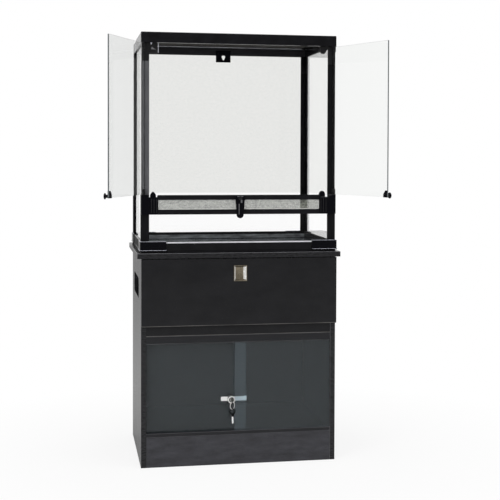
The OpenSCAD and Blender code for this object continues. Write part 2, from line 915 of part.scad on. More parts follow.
cabinet_left_side();
cabinet_right_side();
cabinet_top();
cabinet_bottom();
middle_shelf();
cabinet_back();
plinth();
rear_plinth();
front_rail();
upper_track();
lower_track();
flap();
cup_pull();
flap_hinge_leaf();
rail_hinge_leaf();
flap_hinge_pin();
magnet_catches();
catch_plates();
left_sliding_glass();
right_sliding_glass();
lock_bar();
lock_barrel();
key_in_lock();
key_ring();
spare_key();
base_frame();
base_corner_brackets();
floor_pane();
front_left_post();
front_right_post();
back_left_post();
back_right_post();
top_corner_connectors();
top_frame();
back_glass();
left_side_glass();
right_side_glass();
front_lower_glass();
vent_upper_rail();
vent_lower_rail();
vent_mesh();
left_hinge_block();
right_hinge_block();
left_door_glass();
right_door_glass();
left_hinge_clips();
right_hinge_clips();
left_door_knob();
right_door_knob();
front_latch();
latch_pivot();
lid_frame();
lid_mesh();
rear_lock_tab();
lock_tab_screws();
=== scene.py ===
import math

import bmesh
import bpy
from mathutils import Matrix, Vector


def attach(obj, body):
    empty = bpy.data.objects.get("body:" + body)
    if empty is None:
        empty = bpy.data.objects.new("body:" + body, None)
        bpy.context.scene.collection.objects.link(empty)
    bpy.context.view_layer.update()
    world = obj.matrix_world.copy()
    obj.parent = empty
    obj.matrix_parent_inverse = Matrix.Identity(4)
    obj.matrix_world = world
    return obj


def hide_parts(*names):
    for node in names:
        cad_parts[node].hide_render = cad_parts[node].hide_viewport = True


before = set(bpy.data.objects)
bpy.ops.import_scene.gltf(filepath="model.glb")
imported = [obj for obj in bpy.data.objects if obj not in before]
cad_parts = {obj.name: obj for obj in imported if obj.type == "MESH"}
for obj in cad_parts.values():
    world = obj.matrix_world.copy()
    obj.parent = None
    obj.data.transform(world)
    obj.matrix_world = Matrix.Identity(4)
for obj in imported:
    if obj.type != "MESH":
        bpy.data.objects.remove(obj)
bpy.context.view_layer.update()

# The solids' main measures in millimetres: half the width, the tank's front
# and back, the doors' pivot axes, half the vent mesh, and the rim's foot.
half_w, front_y, back_y = 300, -8, 442
hinge_x, hinge_y = 291, -4
vent_half = 248
rim_z = 1286


# ---- The view and the light -----------------------------------------------
# A shop picture: a long lens from the left of the front, level with the
# tank's middle, on a white sweep that runs from the floor up the wall.

def add(tree, kind, inputs=None, **settings):
    """Adds a node, sets or links its inputs and gives back its outputs."""
    node = tree.nodes.new("ShaderNode" + kind)
    for name, value in settings.items():
        setattr(node, name, value)
    for name, value in (inputs or {}).items():
        if isinstance(value, bpy.types.NodeSocket):
            tree.links.new(value, node.inputs[name])
        else:
            node.inputs[name].default_value = value
    return node.outputs


def straight(tree, ray):
    """One for camera rays, also when all they did was pass through glass."""
    turns = add(tree, "Math", {0: ray["Diffuse Depth"],
                1: ray["Glossy Depth"]}, operation="ADD")[0]
    through = add(tree, "Math", {0: turns, 1: 0.5},
                  operation="LESS_THAN")[0]
    return add(tree, "Math", {0: ray["Is Transmission Ray"], 1: through,
                              2: ray["Is Camera Ray"]},
               operation="MULTIPLY_ADD", use_clamp=True)[0]


scene = bpy.context.scene
scene.view_settings.view_transform = "Standard"

# Yaw turns the lens to the right, pitch up, roll about its axis, in radians.
yaw, pitch, roll = 0.1975, -0.0277, -0.0041
eye_point = (-0.519, -3.6237, 0.9537)
forward = Vector((math.sin(yaw) * math.cos(pitch),
                  math.cos(yaw) * math.cos(pitch), math.sin(pitch)))
level = Vector((math.cos(yaw), -math.sin(yaw), 0))
down = forward.cross(level)
right = level * math.cos(roll) + down * math.sin(roll)
up = level * math.sin(roll) - down * math.cos(roll)
camera = bpy.data.objects.new("camera", bpy.data.cameras.new("camera"))
camera.matrix_world = (Matrix.Translation(eye_point)
                       @ Matrix((right, up, -forward)).transposed().to_4x4())
camera.data.lens = 86.0
camera.data.sensor_width = 36.0
camera.data.shift_x = -0.1112
camera.data.shift_y = -0.1264
camera.data.clip_end = 50.0
scene.collection.objects.link(camera)
scene.camera = camera

# The camera sees white. Mirror rays see a white wall behind the object and
# a white screen at its left, and a dim room in front; the rest is soft. The
# wall fades out from 16 to 37 degrees off straight back, and the screen from
# 11 to 26 degrees off straight left.
world = bpy.data.worlds.new("white sweep")
world.use_nodes = True
scene.world = world
tree = world.node_tree
tree.nodes.clear()
ray = add(tree, "LightPath")
heading = add(tree, "SeparateXYZ", {0: add(tree, "TexCoord")["Generated"]})
wall = add(tree, "MapRange", {"Value": heading["Y"], "From Min": 0.80,
           "From Max": 0.96, "To Min": 0.2, "To Max": 1.0})[0]
screen = add(tree, "MapRange", {"Value": heading["X"], "From Min": -0.9,
             "From Max": -0.98, "To Min": 0.0, "To Max": 0.8})[0]
mirrored = add(tree, "Math", {0: wall, 1: screen}, operation="ADD",
               use_clamp=True)[0]
soft = add(tree, "Mix", {"Factor": ray["Is Glossy Ray"], "A": 0.5,
                         "B": mirrored}, data_type="FLOAT")[0]
strength = add(tree, "Mix", {"Factor": straight(tree, ray), "A": soft,
                             "B": 1.0}, data_type="FLOAT")[0]
sky = add(tree, "Background", {"Color": (1, 1, 1, 1), "Strength": strength})
add(tree, "OutputWorld", {"Surface": sky[0]})

# Three round lamps: place and width in metres, power in watts. All face the
# middle of the object, and rays through glass don't see them.
lit_point = Vector((0, 0.2, 0.75))
for name, place, size, power in (("key_light", (-2.9, -3.0, 2.7), 1.8, 56),
                                 ("fill_light", (3.2, -2.6, 1.6), 2.2, 22),
                                 ("top_light", (0.0, -0.6, 3.6), 2.0, 40)):
    lamp = bpy.data.lights.new(name, "AREA")
    lamp.shape = "DISK"
    lamp.size = size
    lamp.energy = power
    holder = bpy.data.objects.new(name, lamp)
    aim = (lit_point - Vector(place)).to_track_quat("-Z", "Y")
    holder.matrix_world = Matrix.Translation(place) @ aim.to_matrix().to_4x4()
    holder.visible_transmission = False
    scene.collection.objects.link(holder)

# The sweep itself: matt white paper, lit to white where the camera sees it,
# with a little of the real shadow kept close to the object. It reaches 9 m
# each way and lies a hair under the feet.
sweep_reach = 9.0
sweep_drop = 0.0004
paper = bpy.data.materials.new("white paper sweep")
paper.use_nodes = True
tree = paper.node_tree
tree.nodes.clear()
lit = add(tree, "BsdfDiffuse", {"Color": (0.9, 0.9, 0.9, 1)})
glow = add(tree, "Emission", {"Color": (1, 1, 1, 1), "Strength": 1.0})
away = add(tree, "VectorMath", {0: add(tree, "TexCoord")["Object"]},
           operation="LENGTH")["Value"]
whiteness = add(tree, "MapRange", {"Value": away, "From Min": 0.45,
                "From Max": 1.3, "To Min": 0.86, "To Max": 1.0})[0]
share = add(tree, "Math", {0: straight(tree, add(tree, "LightPath")),
            1: whiteness}, operation="MULTIPLY")[0]
add(tree, "OutputMaterial", {"Surface": add(tree, "MixShader", {
    "Fac": share, 1: lit[0], 2: glow[0]})[0]})
bm = bmesh.new()
bmesh.ops.create_grid(bm, x_segments=1, y_segments=1, size=sweep_reach,
                      matrix=Matrix.Translation((0, 0.2, -sweep_drop)))
mesh = bpy.data.meshes.new("floor")
bm.to_mesh(mesh)
bm.free()
mesh.materials.append(paper)
floor = bpy.data.objects.new("floor", mesh)
scene.collection.objects.link(floor)


# ---- Cabinet boards -------------------------------------------------------
# 16 mm chipboard faced with black melamine, sawn to size and edged with a
# 1 mm plastic band. The sides have a milled hand hole each.

def linear(code):
    """The linear colour of an sRGB hex code."""
    parts = [int(code[i:i + 2], 16) / 255 for i in (0, 2, 4)]
    return (*[p / 12.92 if p <= 0.04045 else ((p + 0.055) / 1.055) ** 2.4
              for p in parts], 1.0)


def new_finish(name):
    """A new material with an empty tree."""
    made = bpy.data.materials.new(name)
    made.use_nodes = True
    made.node_tree.nodes.clear()
    return made, made.node_tree


def between(tree, value, low, high, start=0.0, end=1.0):
    """Spreads a value of start to end over two numbers."""
    return add(tree, "MapRange", {"Value": value, "From Min": start,
               "From Max": end, "To Min": low, "To Max": high})[0]


def patch(tree, size, stretch=(1, 1, 1), detail=3.0, sharp=0.5):
    """Noise with features of that many millimetres, spread from 0 to 1."""
    place = add(tree, "Mapping", {
        "Vector": add(tree, "TexCoord")["Object"],
        "Scale": tuple(1000 / size / s for s in stretch)})["Vector"]
    fleck = add(tree, "TexNoise", {"Vector": place, "Scale": 1.0,
                "Detail": detail, "Roughness": sharp})["Fac"]
    return between(tree, fleck, 0, 1, 0.3, 0.7)


def blended(tree, factor, one, two):
    """A colour between two hex colours."""
    return add(tree, "MixRGB", {"Fac": factor, "Color1": linear(one),
               "Color2": linear(two)})[0]


def bumped(tree, height, depth):
    """A normal for a relief of that many millimetres."""
    return add(tree, "Bump", {"Height": height, "Strength": 1.0,
               "Distance": depth / 1000})["Normal"]


def done(tree, **values):
    """Ends a tree with one Principled shader."""
    names = {k.replace("_", " "): v for k, v in values.items()}
    add(tree, "OutputMaterial",
        {"Surface": add(tree, "BsdfPrincipled", names)[0]})


# Melamine paper pressed with a pearl texture: dull from the front, and a
# pale sheen along it. The pearl is drawn 3 mm wide, or it would not show.
melamine, tree = new_finish("black melamine, pearl pressed")
pearl = patch(tree, 3.0)
cloud = patch(tree, 60.0, (1, 1, 0.6), 3.0)
done(tree, Base_Color=blended(tree, cloud, "19191b", "1f1f21"),
     Roughness=between(tree, pearl, 0.20, 0.28),
     Specular_IOR_Level=0.2, Normal=bumped(tree, pearl, 0.03))

# The plinth's melamine is greyer: painted light bounced from the white floor,
# with scuffed streaks in it.
scuffed_lit_melamine, tree = new_finish("black melamine, scuffed, painted floor light")
pearl = patch(tree, 3.0)
scuff = patch(tree, 34.0, (1.8, 1, 0.5), 5.0, 0.62)
done(tree, Base_Color=blended(tree, scuff, "343437", "45454a"),
     Roughness=between(tree, pearl, 0.26, 0.36),
     Specular_IOR_Level=0.2, Normal=bumped(tree, pearl, 0.03))

# Edge band of black ABS, a little smoother than the board's face, and the same
# band with a pale painted highlight along its arris.
edge_band, tree = new_finish("black ABS edge band")
draw = patch(tree, 2.5, (6, 6, 1))
done(tree, Base_Color=blended(tree, draw, "1c1c1e", "262628"),
     Roughness=between(tree, draw, 0.24, 0.32), Specular_IOR_Level=0.25)
lit_arris, tree = new_finish("black ABS edge band, painted highlight")
draw = patch(tree, 9.0, (5, 5, 1))
done(tree, Base_Color=blended(tree, draw, "57575b", "77777b"),
     Roughness=between(tree, draw, 0.3, 0.45))
# The same band with a painted highlight along a lower arris, greyer and
# warmer.
lit_lower_arris, tree = new_finish("black ABS edge band, painted lower highlight")
draw = patch(tree, 14.0, (5, 5, 1), 4.0)
done(tree, Base_Color=blended(tree, draw, "333231", "5c5a57"),
     Roughness=between(tree, draw, 0.4, 0.6))

# The same boards inside the cupboard, which no lamp reaches: nearly black
# and without gloss, so that the tinted panes before them look dark.
inner, tree = new_finish("black melamine, inside")
pearl = patch(tree, 3.0)
done(tree, Base_Color=blended(tree, pearl, "060607", "0b0b0c"),
     Roughness=between(tree, pearl, 0.4, 0.5), Specular_IOR_Level=0.06)


def copy_of(node):
    """The CAD node's shape, with its triangles joined to whole faces."""
    bm = bmesh.new()
    bm.from_mesh(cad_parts[node].data)
    bmesh.ops.remove_doubles(bm, verts=bm.verts, dist=1e-5)
    bmesh.ops.dissolve_limit(bm, angle_limit=0.003, verts=bm.verts,
                             edges=bm.edges)
    return bm


def soften(bm, width, segments=2, edges=None):
    """Rounds the sharp edges by that many millimetres."""
    sharp = [e for e in (edges or bm.edges) if len(e.link_faces) == 2
             and e.calc_face_angle(0) > 0.5]
    bmesh.ops.bevel(bm, geom=sharp, offset=width / 1000, segments=segments,
                    profile=0.5, affect="EDGES", material=-1,
                    clamp_overlap=True)
    bm.normal_update()


def piece(name, bm, body, materials, nodes=(), smooth=None):
    """Makes the object, hangs it on its body and hides what it stands for.
    With smooth, faces meet softly below that angle in degrees."""
    bmesh.ops.remove_doubles(bm, verts=bm.verts, dist=1e-7)
    bmesh.ops.recalc_face_normals(bm, faces=bm.faces)
    for face in bm.faces:
        face.smooth = smooth is not None
    for edge in bm.edges:
        edge.smooth = (smooth is not None and len(edge.link_faces) == 2
                       and edge.calc_face_angle(0) < math.radians(smooth))
    mesh = bpy.data.meshes.new(name)
    bm.to_mesh(mesh)
    bm.free()
    for made in materials:
        mesh.materials.append(made)
    obj = bpy.data.objects.new(name, mesh)
    scene.collection.objects.link(obj)
    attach(obj, body)
    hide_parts(*nodes)
    return obj


def give(bm, index, chosen):
    """Gives the faces that pass a test another of the materials. The test
    takes a face's normal and its middle in millimetres."""
    for face in bm.faces:
        if chosen(face.normal, face.calc_center_median() * 1000):
            face.material_index = index


def band(bm, *levels):
    """Cuts every face at these heights, so that a strip can be given its
    own material."""
    for z in levels:
        bmesh.ops.bisect_plane(
            bm, geom=bm.verts[:] + bm.edges[:] + bm.faces[:],
            plane_co=(0, 0, z / 1000), plane_no=(0, 0, 1))


def grow(bm, faces, vec):
    """Extrudes faces along a vector in metres."""
    made = bmesh.ops.extrude_face_region(bm, geom=faces)["geom"]
    bmesh.ops.translate(bm, vec=vec, verts=[
        v for v in made if isinstance(v, bmesh.types.BMVert)])


# The last number is the axis across the board. The rear edges stay sawn sharp,
# the top board's upper front arris and the sides' front edges below the top
# board carry a painted highlight, and faces nearer the middle than the sides'
# inner ones are inside the cupboard.
rear_edge, top_under, inside_x = 400, 637, 286
for node, name, across in (("cabinet_left_side", "left_side_board", 0),
                           ("cabinet_right_side", "right_side_board", 0),
                           ("cabinet_top", "top_board", 2),
                           ("cabinet_bottom", "bottom_board", 2),
                           ("middle_shelf", "middle_shelf_board", 2),
                           ("rear_plinth", "rear_plinth_board", 1)):
    bm = copy_of(node)
    soften(bm, 1.0, edges=[e for e in bm.edges
                           if e.verts[0].co.y < rear_edge / 1000
                           or "side" in node or "top" in node])
    give(bm, 1, lambda n, p: abs(n[across]) < 0.6)
    if node == "cabinet_top":
        give(bm, 2, lambda n, p: n.y < -0.2 and n.z > 0.2)
    elif across == 0:
        give(bm, 2, lambda n, p: n.x < -0.2 and n.y < -0.2
             and p.z < top_under)
        give(bm, 3, lambda n, p: abs(n.x) > 0.9 and abs(p.x) < inside_x)
    else:
        give(bm, 3, lambda n, p: n.y > -0.5)
    piece(name, bm, "carcass",
          (melamine, edge_band, lit_arris, inner), (node,))
# The plinth board takes the greyer melamine with painted floor light.
bm = copy_of("plinth")
soften(bm, 1.0)
piece("plinth_board", bm, "carcass", (scuffed_lit_melamine,), ("plinth",))

# The back is a thin hardboard sheet slid into the sides' grooves.
bm = copy_of("cabinet_back")
give(bm, 1, lambda n, p: n.y < 0.5)
piece("back_sheet", bm, "carcass", (melamine, inner),
      ("cabinet_back",))

# The front rail between the flap and the sliding doors, with its hinge bed.
# A painted highlight runs along its lower arris up to the second of these
# heights.
rail_lit_band = (399, 400.8)
bm = copy_of("front_rail")
soften(bm, 0.8)
band(bm, *rail_lit_band)
give(bm, 1, lambda n, p: n.y < -0.2 and p.z < rail_lit_band[1])
piece("front_rail_board", bm, "carcass", (melamine, lit_lower_arris),
      ("front_rail",))


# ---- Tracks of the sliding doors ------------------------------------------
# Extruded black plastic: a deep upper channel that the panes are lifted into
# and a shallow lower one, both with two grooves. Lines drawn along them break
# their gloss, and the front arrises carry a pale painted highlight.

track_plastic, tree = new_finish("extruded PVC track")
drawn = patch(tree, 2.0, (40, 1, 1), 2.0)
done(tree, Base_Color=blended(tree, drawn, "1c1c1f", "27272a"),
     Roughness=between(tree, drawn, 0.34, 0.46), Specular_IOR_Level=0.25,
     Normal=bumped(tree, drawn, 0.04))
for node, name in (("upper_track", "upper_door_track"),
                   ("lower_track", "lower_door_track")):
    bm = copy_of(node)
    soften(bm, 0.6)
    give(bm, 1, lambda n, p: n.y < -0.2 and abs(n.z) > 0.2 and p.y < -6)
    piece(name, bm, "carcass", (track_plastic, lit_arris),
          (node,))


# ---- Flap -----------------------------------------------------------------
# A melamine board hung at its lower edge on a piano hinge, with a square cup
# pull let into its face and two strike plates for the magnets. A painted
# highlight runs along its lower arris up to this height.

flap_lit_band = 432.6
bm = copy_of("flap")
soften(bm, 1.0)
band(bm, flap_lit_band)
give(bm, 1, lambda n, p: abs(n.y) < 0.6)
give(bm, 2, lambda n, p: n.y < -0.2 and p.z < flap_lit_band - 0.1)
piece("flap_board", bm, "flap_door",
      (melamine, edge_band, lit_lower_arris), ("flap",))

# Pressed cup, plated and satin brushed: a warm nickel with fine lines. Its
# leaning walls carry a painted white highlight.
nickel, tree = new_finish("satin nickel plate, brushed")
lines = patch(tree, 1.6, (1, 1, 25), 2.0)
tarnish = patch(tree, 5.0)
done(tree, Base_Color=blended(tree, tarnish, "6e6554", "958b78"),
     Metallic=0.75, Roughness=between(tree, lines, 0.3, 0.45),
     Normal=bumped(tree, lines, 0.02))
painted_shine, tree = new_finish("nickel plate, painted highlight")
tarnish = patch(tree, 7.0)
done(tree, Base_Color=blended(tree, tarnish, "dedcd8", "fafaf8"),
     Metallic=0.3, Roughness=between(tree, tarnish, 0.12, 0.3))


def slab(bm, low, high):
    """A box between two corners in millimetres."""
    low, high = Vector(low) / 1000, Vector(high) / 1000
    return bmesh.ops.create_cube(
        bm, size=1.0, matrix=Matrix.Translation((low + high) / 2)
        @ Matrix.Diagonal((*(high - low), 1)))["verts"]


def loft(bm, rings):
    """A closed skin over rectangles (x0, x1, z0, z1, y) in millimetres."""
    rows = [[bm.verts.new(Vector(p) / 1000) for p in (
        (x0, y, z0), (x1, y, z0), (x1, y, z1), (x0, y, z1))]
        for x0, x1, z0, z1, y in rings]
    for one, two in zip(rows, rows[1:]):
        for k in range(4):
            bm.faces.new((one[k - 1], one[k], two[k], two[k - 1]))
    bm.faces.new(rows[0])
    bm.faces.new(rows[-1])
    bmesh.ops.recalc_face_normals(bm, faces=bm.faces)


# The cup is drawn from one plate: round its flange, down the leaning walls to
# the floor, and back up the outside to the flange's rear face. The side walls
# between the floor and the flange take the painted white highlight.
cup_floor, flange_in = -15.2, 18.4
bm = bmesh.new()
loft(bm, [(-13.2, 9.6, 571.5, 607, -14.4), (-17.2, 17.8, 567, 611, -24.9),
          (-18.2, 18.6, 566.2, 611.8, -25.5), (-20.2, 20.2, 565, 613, -25.3),
          (-20.2, 20.2, 565, 613, -24.3), (-17.9, 17.9, 569.1, 608.9, -24.3),
          (-14, 10.4, 570.6, 607.8, -13.2)])
soften(bm, 0.5, 2)
give(bm, 1, lambda n, p: p.y < cup_floor and abs(n.x) > 0.3
     and abs(p.x) < flange_in)
piece("cup_pull_shell", bm, "flap_door",
      (nickel, painted_shine), ("cup_pull",), smooth=40)

# Piano hinge of folded steel strip round a thin pin, zinc plated: a grey
# metal, mottled by the zinc's spangle.
zinc, tree = new_finish("zinc-plated steel strip")
spangle = patch(tree, 6.0, (1, 1, 1), 1.0)
done(tree, Base_Color=blended(tree, spangle, "6f7074", "8d8e92"),
     Metallic=1.0, Roughness=between(tree, spangle, 0.3, 0.45))
for node, name, body in (("flap_hinge_leaf", "flap_leaf", "flap_door"),
                         ("rail_hinge_leaf", "rail_leaf", "carcass"),
                         ("flap_hinge_pin", "hinge_wire", "carcass"),
                         ("catch_plates", "strike_plates", "flap_door")):
    bm = copy_of(node)
    if node == "catch_plates":
        soften(bm, 0.3)
    piece(name, bm, body, (zinc,), (node,), smooth=35)


def screws(bm, spots, radius, turn):
    """Pan heads with a cross recess, each turned and set at its spot."""
    for spot in spots:
        made = bmesh.ops.create_cone(
            bm, segments=20, radius1=radius / 1000, radius2=radius / 1450,
            depth=0.0009, cap_ends=True, cap_tris=False)["verts"]
        for a, b in ((0.62, 0.13), (0.13, 0.62)):
            made += slab(bm, (-a * radius, -b * radius, 0.2),
                         (a * radius, b * radius, 0.5))
        bmesh.ops.transform(bm, verts=made, matrix=Matrix.Translation(
            Vector(spot) / 1000) @ turn)


# Screws through the leaves, one between each pair of knuckles.
screw_count, screw_pitch, screw_radius = 7, 62, 2.8
front_turn = Matrix.Rotation(math.pi / 2, 4, "X")
back_turn = Matrix.Rotation(-math.pi / 2, 4, "X")
level_turn = Matrix.Identity(4)
for name, body, turn, y, z in (
        ("flap_leaf_screws", "flap_door", back_turn, -8.1, 439),
        ("rail_leaf_screws", "carcass", level_turn, 0, 429.1)):
    bm = bmesh.new()
    screws(bm, [((k - 3) * screw_pitch, y, z) for k in range(screw_count)],
           screw_radius, turn)
    piece(name, bm, body, (zinc,), smooth=35)

# Flat nails in two rows, given as (y, z): through the back sheet into the
# middle shelf, and in the bottom board's rear edge below the sheet.
nail_count, nail_pitch = 6, 100
bm = bmesh.new()
for y, z in ((438.3, 407), (434.4, 84)):
    for k in range(nail_count):
        made = bmesh.ops.create_cone(
            bm, segments=14, radius1=0.0032, radius2=0.0026, depth=0.0008,
            cap_ends=True, cap_tris=False)["verts"]
        bmesh.ops.transform(bm, verts=made, matrix=Matrix.Translation(
            Vector(((k - 2.5) * nail_pitch, y, z)) / 1000) @ back_turn)
piece("back_nails", bm, "carcass", (zinc,), smooth=35)

# Magnetic catches in black moulded cases. The mould's eroded grain breaks
# their gloss; it is drawn 1.6 mm wide, or it would not show.
moulded, tree = new_finish("moulded black ABS")
spark = patch(tree, 1.6)
done(tree, Base_Color=blended(tree, spark, "121214", "19191b"),
     Roughness=between(tree, spark, 0.26, 0.38), Specular_IOR_Level=0.35,
     Normal=bumped(tree, spark, 0.04))
bm = copy_of("magnet_catches")
soften(bm, 1.0)
piece("catch_cases", bm, "carcass", (moulded,),
      ("magnet_catches",))


# ---- Sliding panes --------------------------------------------------------
# Lightly tinted float glass, 5 mm thick, with ground edges. The right pane
# runs in front, the left one behind it. They look dark because the
# cupboard is, and paler where they overlap, because both of them shine.

def glass(name, tint, shade, clear=1.0, index=1.5):
    """Float glass that lets lamp light through, with its own tint and the
    tint of its shadow as hex colours. Below 1, clear makes it dusty. Gives
    back the material and its shader's outputs."""
    made, tree = new_finish(name)
    solid = add(tree, "BsdfPrincipled", {
        "Base Color": linear(tint), "Roughness": 0.0, "IOR": index,
        "Transmission Weight": clear})
    cast = add(tree, "BsdfTransparent", {"Color": linear(shade)})
    add(tree, "OutputMaterial", {"Surface": add(tree, "MixShader", {
        "Fac": add(tree, "LightPath")["Is Shadow Ray"],
        1: solid[0], 2: cast[0]})[0]})
    return made, solid


tinted = glass("lightly tinted float glass", "dfeaf0", "e6ebee",
               clear=0.98, index=1.3)[0]

# Ground edges scatter the light and look grey and matt.
ground_edge, tree = new_finish("ground glass edge")
grit = patch(tree, 2.0)
done(tree, Base_Color=blended(tree, grit, "3c4347", "5a6367"),
     Roughness=between(tree, grit, 0.4, 0.6))
for node, name, body in (
        ("left_sliding_glass", "left_tinted_pane", "left_pane"),
        ("right_sliding_glass", "right_tinted_pane", "right_pane")):
    bm = copy_of(node)
    soften(bm, 0.7, 1)
    give(bm, 1, lambda n, p: abs(n.y) < 0.6)
    piece(name, bm, body, (tinted, ground_edge), (node,))


# ---- Showcase lock --------------------------------------------------------
# A toothed bar hooked round the left pane's edge, and a ratchet barrel that
# slides on it up to the right pane. The barrel is a zinc casting with bright
# nickel on it, which mirrors the room and has softer, worn spots. The bar's
# shine is painted in: a nearly white, hardly metallic colour, drawn out along
# it.

bright, tree = new_finish("bright nickel plate")
wear = patch(tree, 5.0)
done(tree, Base_Color=blended(tree, wear, "cfcfcc", "eaeae8"),
     Metallic=0.7, Roughness=between(tree, wear, 0.14, 0.26))
steel, tree = new_finish("pressed steel bar, nickel plated, painted white sheen")
rolled = patch(tree, 1.5, (12, 1, 1))
done(tree, Base_Color=blended(tree, rolled, "ededeb", "fbfbfa"),
     Metallic=0.1, Roughness=between(tree, rolled, 0.35, 0.5))
bm = copy_of("lock_bar")
soften(bm, 0.3, 1)
piece("ratchet_bar", bm, "left_pane", (steel,),
      ("lock_bar",))


def turned(bm, profile, place, turn):
    """Spins a profile of (radius, height) in millimetres about Z, closes it
    and sets it at its place."""
    before = set(bm.verts)
    rim = [bm.verts.new((r / 1000, 0, h / 1000)) for r, h in profile]
    edges = [bm.edges.new(pair) for pair in zip(rim, rim[1:])]
    bmesh.ops.spin(bm, geom=rim + edges, cent=(0, 0, 0),
                   axis=(0, 0, 1), angle=2 * math.pi, steps=48,
                   use_merge=True, use_duplicate=False)
    bmesh.ops.remove_doubles(bm, dist=1e-6, verts=[
        v for v in bm.verts if v not in before])
    bmesh.ops.transform(bm, verts=[v for v in bm.verts if v not in before],
                        matrix=Matrix.Translation(Vector(place) / 1000)
                        @ turn)


# The barrel has a raised bezel round the plug, and a sunk black face. Both
# stand on the front face, on the plug's axis.
plug_face = (-25.3, -16, 200)
bm = copy_of("lock_barrel")
soften(bm, 0.5, 2)
piece("barrel_body", bm, "lock", (bright,),
      ("lock_barrel",), smooth=40)
# The bezel takes the bar's finish with its painted white sheen.
bm = bmesh.new()
turned(bm, [(8.2, 0), (8.2, 0.9), (9.2, 1.4), (10.4, 1.2), (10.9, 0.4),
            (10.9, 0), (8.2, 0)], plug_face, front_turn)
piece("barrel_bezel", bm, "lock", (steel,), smooth=50)
bm = bmesh.new()
turned(bm, [(6.15, 0), (6.15, 0.5), (8.15, 0.5), (8.15, 0), (6.15, 0)],
       plug_face, front_turn)
piece("barrel_face", bm, "lock", (moulded,), smooth=50)


# ---- Keys and ring --------------------------------------------------------
# Flat keys of nickelled brass with a moulded black head; one is in the lock
# and one hangs from it on a ring of spring wire. The soft plastic of the
# heads has almost no highlight, and stays black beside the plating.

head_black, tree = new_finish("soft black key head")
grain = patch(tree, 1.5)
done(tree, Base_Color=blended(tree, grain, "070708", "0d0d0f"),
     Roughness=between(tree, grain, 0.5, 0.6), Specular_IOR_Level=0.1)

bm = copy_of("key_in_lock")
soften(bm, 0.25, 1)
give(bm, 1, lambda n, p: p.y < -18)
piece("key_and_plug", bm, "key", (bright, head_black),
      ("key_in_lock",), smooth=40)
# The ring takes the bar's finish with its painted white sheen.
bm = copy_of("key_ring")
piece("wire_ring", bm, "ring", (steel,), ("key_ring",),
      smooth=60)

# The spare key: a round bow with a wide eye, a shoulder, and a blade with
# five cuts. It is drawn flat, its bow about the origin, then hung up.
bow_radius, eye_radius, half_key = 0.0098, 0.0062, 0.0009
bow_middle = (-0.0253, -0.035, 0.1682)
bm = bmesh.new()
bow = bmesh.ops.create_circle(bm, segments=36, radius=bow_radius)["verts"]
bmesh.ops.create_circle(bm, segments=36, radius=eye_radius)
bmesh.ops.bridge_loops(bm, edges=bm.edges[:])
bmesh.ops.translate(bm, verts=bow, vec=(0, 0.0001, 0))
bmesh.ops.translate(bm, verts=bm.verts, vec=(0, 0, -half_key))
grow(bm, bm.faces[:], (0, 0, 2 * half_key))
slab(bm, (-3.4, -15.5, -1.2), (3.4, -8.2, 1.2))
slab(bm, (-2.9, -36.5, -0.9), (1.3, -14.5, 0.9))
for k in range(5):
    slab(bm, (1.3, -34.5 + 4.1 * k, -0.9),
         (2.3 + 0.5 * (k % 2), -32.3 + 4.1 * k, 0.9))
soften(bm, 0.3, 1)
give(bm, 1, lambda n, p: p.y > -15.6)
bmesh.ops.transform(bm, verts=bm.verts, matrix=Matrix.Translation(
    bow_middle) @ Matrix.Rotation(-0.05, 4, "Y") @ front_turn)
# The spare key's blade carries the painted white sheen; its bow and shoulder
# are the black head.
piece("hanging_key", bm, "spare", (steel, head_black),
      ("spare_key",), smooth=40)


# ---- Base frame of the tank -----------------------------------------------
# Four lengths of extruded black plastic, mitred and joined at the corners,
# with a ledge inside that carries the floor pane. Fine drawn lines give it
# a soft gloss.

extruded, tree = new_finish("extruded black PVC frame")
drawn = patch(tree, 2.4, (14, 14, 14), 2.0)
fine = patch(tree, 1.4)
done(tree, Base_Color=blended(tree, drawn, "101012", "17171a"),
     Roughness=between(tree, fine, 0.16, 0.24), Specular_IOR_Level=0.18,
     Normal=bumped(tree, fine, 0.02))

# The posts and the left side have lost their gloss.
matt, tree = new_finish("extruded black PVC, dull")
drawn = patch(tree, 2.4, (1, 1, 20), 2.0)
done(tree, Base_Color=blended(tree, drawn, "101012", "19191b"),
     Roughness=between(tree, drawn, 0.5, 0.6), Specular_IOR_Level=0.06)

# The base frame's upper edge has a pale painted highlight along the front.
lit_pvc, tree = new_finish("black PVC, painted highlight")
sheen_noise = patch(tree, 12.0, (4, 1, 1), 4.0)
done(tree, Base_Color=blended(tree, sheen_noise, "b9bac0", "e4e4ea"),
     Roughness=between(tree, sheen_noise, 0.25, 0.4))

# The base frame's back rail is mottled grey on its inner face.
mottled_pvc, tree = new_finish("black PVC, mottled grey")
grey_mottle = patch(tree, 16.0, (3, 1, 0.6), 5.0, 0.66)
done(tree, Base_Color=blended(tree, grey_mottle, "26282a", "8d9296"),
     Roughness=between(tree, grey_mottle, 0.3, 0.6))


def mitred(bm, half, front, back, profile):
    """A rectangular frame, in millimetres: half its width, its front and
    back, and a profile of (inset, height)."""
    loops = []
    for sx, y, sy in ((-1, front, 1), (1, front, 1), (1, back, -1),
                      (-1, back, -1)):
        verts = [bm.verts.new(Vector((sx * (half - inset), y + sy * inset,
                                      z)) / 1000) for inset, z in profile]
        loops.append([bm.edges.new(pair) for pair in
                      zip(verts, verts[1:] + verts[:1])])
    for one, two in zip(loops, loops[1:] + loops[:1]):
        bmesh.ops.bridge_loops(bm, edges=one + two)
    bmesh.ops.recalc_face_normals(bm, faces=bm.faces)


